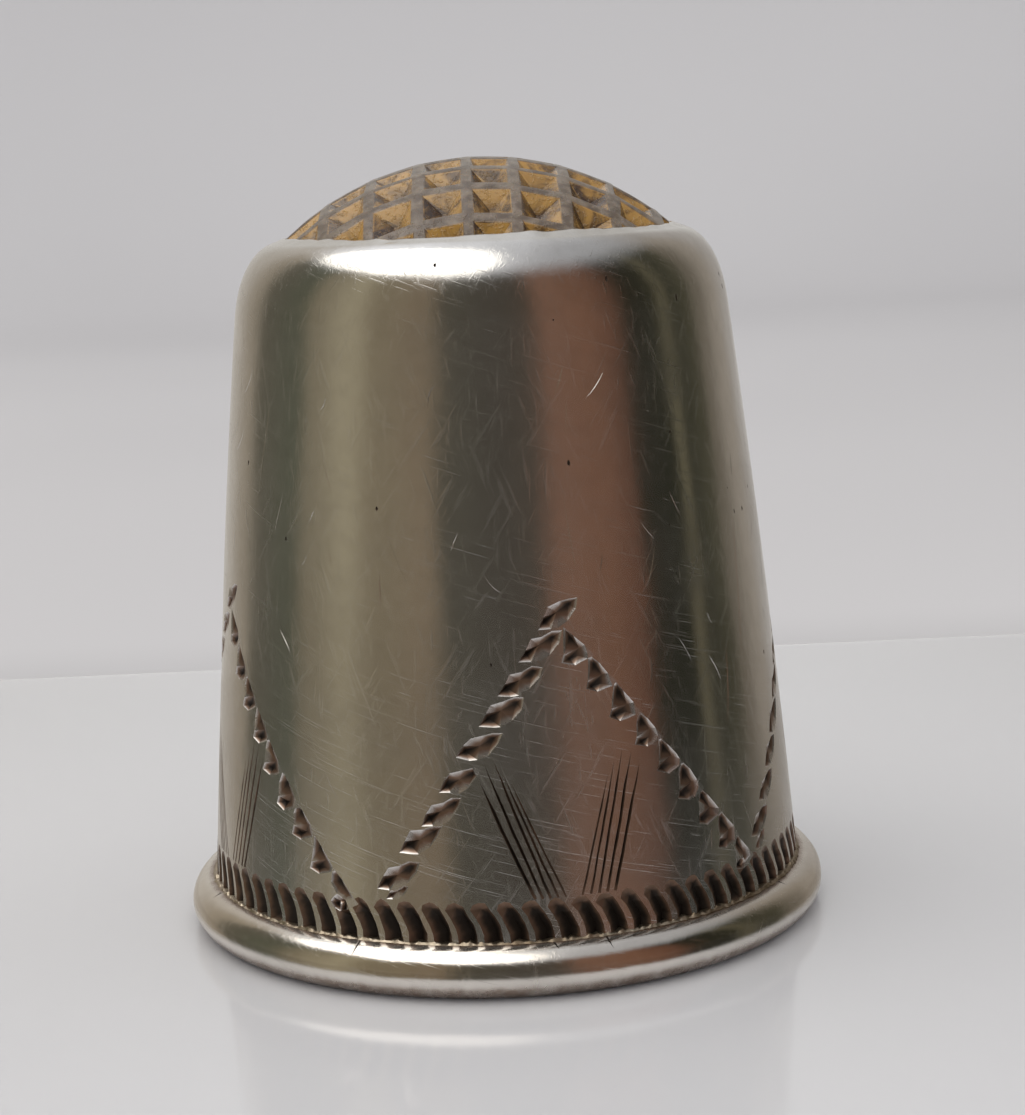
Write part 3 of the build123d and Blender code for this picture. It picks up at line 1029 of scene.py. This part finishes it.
def wear(piece, *materials):
    """Give a piece its materials, in the order of their numbers."""
    piece.data.materials.clear()
    for material in materials:
        piece.data.materials.append(material)


# Colours of the patina and painted shade in the cuts: red-brown, and near black where deepest
RED_OXIDE_AND_SHADE = (0.20, 0.125, 0.085, 1)
DEEP_OXIDE_AND_SHADE = (0.022, 0.016, 0.012, 1)

# Each silver's bright and dull colours, its roughness where bright and dull, and its tarnish
outer_silver = silver("silver_outside", (0.82, 0.81, 0.79, 1), (0.60, 0.585, 0.55, 1), (0.13, 0.20), 0.60)
lining_silver = silver("silver_lining", (0.66, 0.61, 0.52, 1), (0.34, 0.27, 0.19, 1), (0.30, 0.48), 0.9)
rim_silver = silver("silver_rim", (0.84, 0.80, 0.74, 1), (0.60, 0.56, 0.50, 1), (0.13, 0.19), 0.4)
bead_silver = silver("silver_solder", (0.52, 0.45, 0.35, 1), (0.22, 0.16, 0.10, 1), (0.34, 0.48), 0.9)
stone_amber = amber("amber_stone")
old_cement = cement("setting_cement")

wear(band, outer_silver, lining_silver)
for face in band.data.polygons:
    centre = face.center / MM
    is_lining = math.hypot(centre.x, centre.y) < wall_radius(centre.z) - 0.3 and centre.z < GIRDLE_TOP
    face.material_index = 1 if is_lining else 0
wear(rim, rim_silver)
wear(solder, bead_silver)
wear(stone, stone_amber)
wear(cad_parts["bearer_ring"], lining_silver)
wear(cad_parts["cement_bed"], old_cement)

slots = (
    (band, "silver_sheet"), (rim, "silver_wire"), (solder, "silver_wire"), (stone, "amber_stone"),
)
for piece, slot_name in slots:
    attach(piece, "root")
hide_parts("silver_band")
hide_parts("rim_wire")
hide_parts("stone_cap")

# ---- studio


def stage_mesh(name, points, faces, material):
    """Part of the studio, which isn't part of the thimble."""
    mesh = bpy.data.meshes.new(name)
    mesh.from_pydata(points, [], faces)
    mesh.shade_smooth()
    mesh.set_sharp_from_angle(angle=SHARP_ANGLE)
    mesh.materials.append(material)
    made = bpy.data.objects.new(name, mesh)
    bpy.context.scene.collection.objects.link(made)
    return made


def studio_floor():
    """Pale table top, which reflects the room where it is seen at a low angle in the silver."""
    material, graph = new_material("pale_table")
    place = graph.millimetres()
    colour = graph.mix(graph.noise(place, 0.03, 2.0), (0.575, 0.578, 0.605, 1), (0.61, 0.612, 0.64, 1))
    far = graph.node("SeparateXYZ", {0: place}).outputs["Y"]
    shade = graph.ease(far, 8.0, TABLE_EDGE / MM, 1.0, 0.93)
    colour = graph.shaded(colour, shade)
    pale = graph.node("BsdfPrincipled", {
        "Base Color": colour, "Roughness": 0.10, "IOR": 1.45,
        "Subsurface Weight": 1.0, "Subsurface Radius": (1.0, 1.0, 1.0), "Subsurface Scale": 1.5 * MM,
    })
    sheet = graph.node("BsdfAnisotropic", {"Color": (0.88, 0.87, 0.86, 1), "Roughness": 0.06})
    level = graph.node("LayerWeight", {"Blend": 0.5}).outputs["Facing"]
    in_silver = graph.math("SUBTRACT", 1.0, graph.node("LightPath").outputs["Is Camera Ray"])
    share = graph.math("MULTIPLY", graph.ease(level, 0.55, 0.80), in_silver)
    surface = graph.node("MixShader", {0: share, 1: pale.outputs[0], 2: sheet.outputs[0]})
    graph.node("OutputMaterial", {"Surface": surface.outputs[0]})
    half, near, thick = 0.60, -0.60, 0.012
    corners = [(-half, near), (half, near), (half, TABLE_EDGE), (-half, TABLE_EDGE)]
    points = [(x, y, z) for z in (0.0, -thick) for x, y in corners]
    faces = [(0, 1, 2, 3), (7, 6, 5, 4), (0, 4, 5, 1), (1, 5, 6, 2), (2, 6, 7, 3), (3, 7, 4, 0)]
    stage_mesh("floor", points, faces, material)


def studio_backdrop():
    """Pale sheet that starts behind the table and sweeps up; the silver doesn't see it."""
    material, graph = new_material("pale_backdrop")
    fold = graph.noise(graph.scaled(graph.millimetres(), (0.004, 0.004, 0.002), (0.0, 0.9, 0.0)), 1.0, 2.0)
    colour = graph.mix(graph.ease(fold, 0.3, 0.7), (0.53, 0.525, 0.545, 1), (0.60, 0.595, 0.615, 1))
    beyond = graph.node("SeparateXYZ", {0: graph.millimetres()}).outputs["Y"]
    shade = graph.ease(beyond, TABLE_EDGE / MM, TABLE_EDGE / MM + 12, 0.88, 1.0)
    colour = graph.shaded(colour, shade)
    finish_surface(graph, Base_Color=colour, Roughness=0.9)
    half, bend_at, bend, top = 0.60, 0.30, 0.15, 0.60
    line = [(TABLE_EDGE, 0.0)]
    for turn in evenly(0.0, math.pi / 2, 16):
        line.append((bend_at + bend * math.sin(turn), bend * (1 - math.cos(turn))))
    line.append((bend_at + bend, top))
    points = [(x, y, z - 0.0008) for y, z in line for x in (-half, half)]
    faces = [(2 * i, 2 * i + 1, 2 * i + 3, 2 * i + 2) for i in range(len(line) - 1)]
    sheet = stage_mesh("backdrop", points, faces, material)
    sheet.visible_glossy = False
    sheet.visible_shadow = False


# The room as the silver sees it, tuned by the wall's tones: azimuth, colour there
ROOM = (
    (-180, (0.66, 0.645, 0.62)), (-150, (0.48, 0.44, 0.39)), (-130, (0.32, 0.275, 0.215)),
    (-117, (0.11, 0.10, 0.075)), (-94, (0.090, 0.092, 0.065)), (-82, (0.21, 0.18, 0.125)),
    (-64, (0.31, 0.27, 0.185)), (-48, (0.20, 0.165, 0.11)), (-27, (0.20, 0.155, 0.105)),
    (-16, (0.075, 0.068, 0.052)), (6, (0.062, 0.054, 0.043)), (17, (0.065, 0.054, 0.042)),
    (28, (0.18, 0.10, 0.068)), (46, (0.17, 0.088, 0.056)), (60, (0.125, 0.062, 0.040)),
    (68, (0.022, 0.021, 0.014)), (85, (0.020, 0.020, 0.013)), (91, (0.125, 0.11, 0.070)),
    (98, (0.040, 0.038, 0.026)), (110, (0.060, 0.056, 0.036)), (118, (0.145, 0.125, 0.097)),
    (136, (0.29, 0.255, 0.215)), (154, (0.37, 0.345, 0.32)), (180, (0.66, 0.645, 0.62)),
)


def studio_room():
    """World: a pale plain backdrop, and the soft bright and dark of the room in reflections."""
    world = bpy.data.worlds.new("room")
    world.use_nodes = True
    bpy.context.scene.world = world
    graph = Graph(world.node_tree)
    way = graph.node("SeparateXYZ", {0: graph.node("TexCoord").outputs["Generated"]})
    x, y, z = way.outputs
    turn = graph.math("ARCTAN2", x, graph.math("MULTIPLY", y, -1.0))
    around = graph.math("ADD", graph.math("DIVIDE", turn, 2 * math.pi), 0.5)
    ramp = graph.node("ValToRGB", {0: around})
    ramp.color_ramp.interpolation = "EASE"
    stops = ramp.color_ramp.elements
    while len(stops) < len(ROOM):
        stops.new(0.5)
    for stop, (azimuth, colour) in zip(stops, ROOM):
        stop.position = azimuth / 360 + 0.5
        stop.color = (*colour, 1)
    overhead = graph.ease(z, 0.60, 0.86)
    to_left = graph.ease(x, -0.3, 0.45, 1.00, 0.42)
    greyish = graph.math("MULTIPLY", to_left, 0.97)
    ceiling = graph.node("CombineColor", {0: greyish, 1: greyish, 2: to_left}).outputs[0]
    seen = graph.mix(overhead, ramp.outputs[0], ceiling)
    path = graph.node("LightPath")
    soft = graph.mix(graph.ease(z, -0.2, 0.9), (0.60, 0.595, 0.60, 1), (1.09, 1.08, 1.06, 1))
    backdrop = graph.mix(graph.ease(z, -0.1, 0.30), (0.60, 0.59, 0.605, 1), (0.525, 0.52, 0.535, 1))
    colour = graph.mix(path.outputs["Is Diffuse Ray"], seen, soft)
    colour = graph.mix(path.outputs["Is Camera Ray"], colour, backdrop)
    background = graph.node("Background", {"Color": colour, "Strength": 1.0})
    graph.node("OutputWorld", {"Surface": background.outputs[0]})


def soft_light(name, place, aim, width, depth, watts):
    """Warm oval area light at a place, turned to its aim."""
    light = bpy.data.lights.new(name, "AREA")
    light.shape = "ELLIPSE"
    light.size = width
    light.size_y = depth
    light.energy = watts
    light.color = (1.0, 0.95, 0.86)
    lamp = bpy.data.objects.new(name, light)
    lamp.location = place
    lamp.rotation_euler = (Vector(aim) - Vector(place)).to_track_quat("-Z", "Y").to_euler()
    bpy.context.scene.collection.objects.link(lamp)


def photo_camera():
    """Camera in front, looking a little down and rolled by the photographer's hand."""
    yaw, pitch, roll = (math.radians(a) for a in (CAMERA_YAW, CAMERA_PITCH, CAMERA_ROLL))
    ahead = Vector((math.sin(yaw) * math.cos(pitch), math.cos(yaw) * math.cos(pitch), -math.sin(pitch)))
    right = Vector((math.cos(yaw), -math.sin(yaw), 0.0))
    up = right.cross(ahead)
    rolled_right = right * math.cos(roll) + up * math.sin(roll)
    rolled_up = up * math.cos(roll) - right * math.sin(roll)
    turn = Matrix((rolled_right, rolled_up, -ahead)).transposed().to_4x4()
    lens = bpy.data.cameras.new("camera")
    lens.lens = CAMERA_LENS
    lens.sensor_width = 36.0
    lens.clip_start = 0.001
    camera = bpy.data.objects.new("camera", lens)
    camera.matrix_world = Matrix.Translation(Vector((0.0, -CAMERA_DISTANCE, CAMERA_HEIGHT)) * MM) @ turn
    bpy.context.scene.collection.objects.link(camera)
    bpy.context.scene.camera = camera


studio_floor()
studio_backdrop()
studio_room()
soft_light("key_light", (-0.11, -0.06, 0.30), (0.0, 0.0, 0.01), 0.46, 0.26, 0.36)
photo_camera()
bpy.context.scene.view_settings.view_transform = "Standard"
